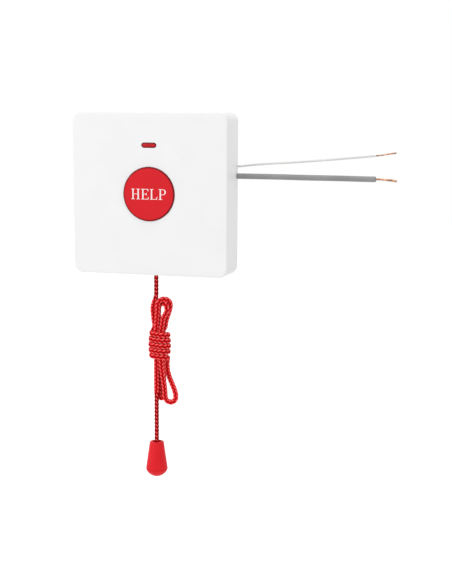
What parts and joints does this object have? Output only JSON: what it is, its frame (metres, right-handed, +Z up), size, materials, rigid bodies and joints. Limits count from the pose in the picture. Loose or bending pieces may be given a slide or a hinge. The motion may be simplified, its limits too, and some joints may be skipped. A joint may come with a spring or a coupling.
{
  "type": "wired panic button",
  "caption": "Square white wall unit with a round red call button, lamp window, pull cord in a hank with a red tip, and two wire tails.",
  "frame": {"origin": "midway between the two wall screws, on the back face that lies on the wall", "axes": "+Y into the wall, +Z up, +X to the right as seen from the front"},
  "size_m": [0.1716, 0.0206, 0.1992],
  "materials": {
    "white_plastic": "satin, moulded",
    "base_plastic": "moulded",
    "red_plastic": "moulded, slightly glossy",
    "red_lens": "translucent, smooth",
    "lamp_red": "translucent epoxy",
    "board_green": "solder mask",
    "steel": "zinc plated",
    "spring_steel": "drawn wire",
    "brass": "plated",
    "copper": "bare stranded copper",
    "switch_black": "moulded",
    "terminal_green": "moulded",
    "slider_plastic": "moulded, natural",
    "resistor_tan": "lacquered",
    "diode_black": "moulded",
    "red_cord": "braided",
    "grey_jacket": "PVC, satin",
    "white_jacket": "PVC, satin",
    "red_jacket": "PVC",
    "blue_jacket": "PVC"
  },
  "bodies": {
    "housing": {"front_cover": "white_plastic", "rear_base": "base_plastic", "cord_bush": "white_plastic", "lamp_window": "red_lens", "signal_lamp": "lamp_red", "circuit_board": "board_green", "board_screws": "steel", "button_spring": "spring_steel", "push_switch_body": "switch_black", "push_switch_legs": "steel", "terminal_block": "terminal_green", "terminal_screws": "steel", "terminal_clamps": "brass", "wire_ends": "copper", "line_resistor": "resistor_tan", "lamp_resistor": "resistor_tan", "line_diode": "diode_black", "slider_spring": "spring_steel", "slider_keeper": "slider_plastic", "keeper_screws": "steel", "micro_switch_body": "switch_black", "micro_switch_terminals": "brass", "micro_switch_screws": "steel", "switch_lead_common": "red_jacket", "switch_lead_open": "blue_jacket", "wire_clamp": "slider_plastic", "clamp_screws": "steel", "grey_cable_lead": "grey_jacket", "white_wire_lead": "white_jacket", "grey_cable": "grey_jacket", "white_wire": "white_jacket", "grey_cable_core": "copper", "white_wire_core": "copper"},
    "button": {"call_button": "red_plastic", "push_switch_plunger": "switch_black"},
    "pull_train": {"pull_slider": "slider_plastic", "cord_knot": "red_cord", "pull_cord_upper": "red_cord", "pull_cord_hank": "red_cord", "pull_cord_lower": "red_cord", "tip_bell": "red_plastic", "tip_cap": "red_plastic", "tip_knot": "red_cord"},
    "switch_lever": {"micro_switch_lever": "spring_steel"},
    "switch_plunger": {"micro_switch_plunger": "red_plastic"}
  },
  "joints": [
    {"name": "call_button_press", "type": "slide", "parent": "housing", "child": "button", "axis": [0, 1, 0], "range_m": [0, 0.0015], "stiffness_N_per_m": 1000, "springref_m": -0.002, "deforming": ["button_spring"]},
    {"name": "cord_pull", "type": "slide", "parent": "housing", "child": "pull_train", "axis": [0, 0, -1], "range_m": [0, 0.0045], "stiffness_N_per_m": 700, "springref_m": -0.004, "deforming": ["slider_spring"]},
    {"name": "switch_lever_turn", "type": "hinge", "parent": "housing", "child": "switch_lever", "pos_m": [0.0142, -0.0106, -0.034], "axis": [0, 1, 0], "range_deg": [0, 6.4]},
    {"name": "switch_plunger_press", "type": "slide", "parent": "housing", "child": "switch_plunger", "axis": [1, 0, 0], "range_m": [0, 0.0005]}
  ],
  "couplings": [
    {"joint": "switch_lever_turn", "follows": "cord_pull", "rad_per_m": 24.1},
    {"joint": "switch_plunger_press", "follows": "cord_pull", "ratio": 0.1}
  ]
}
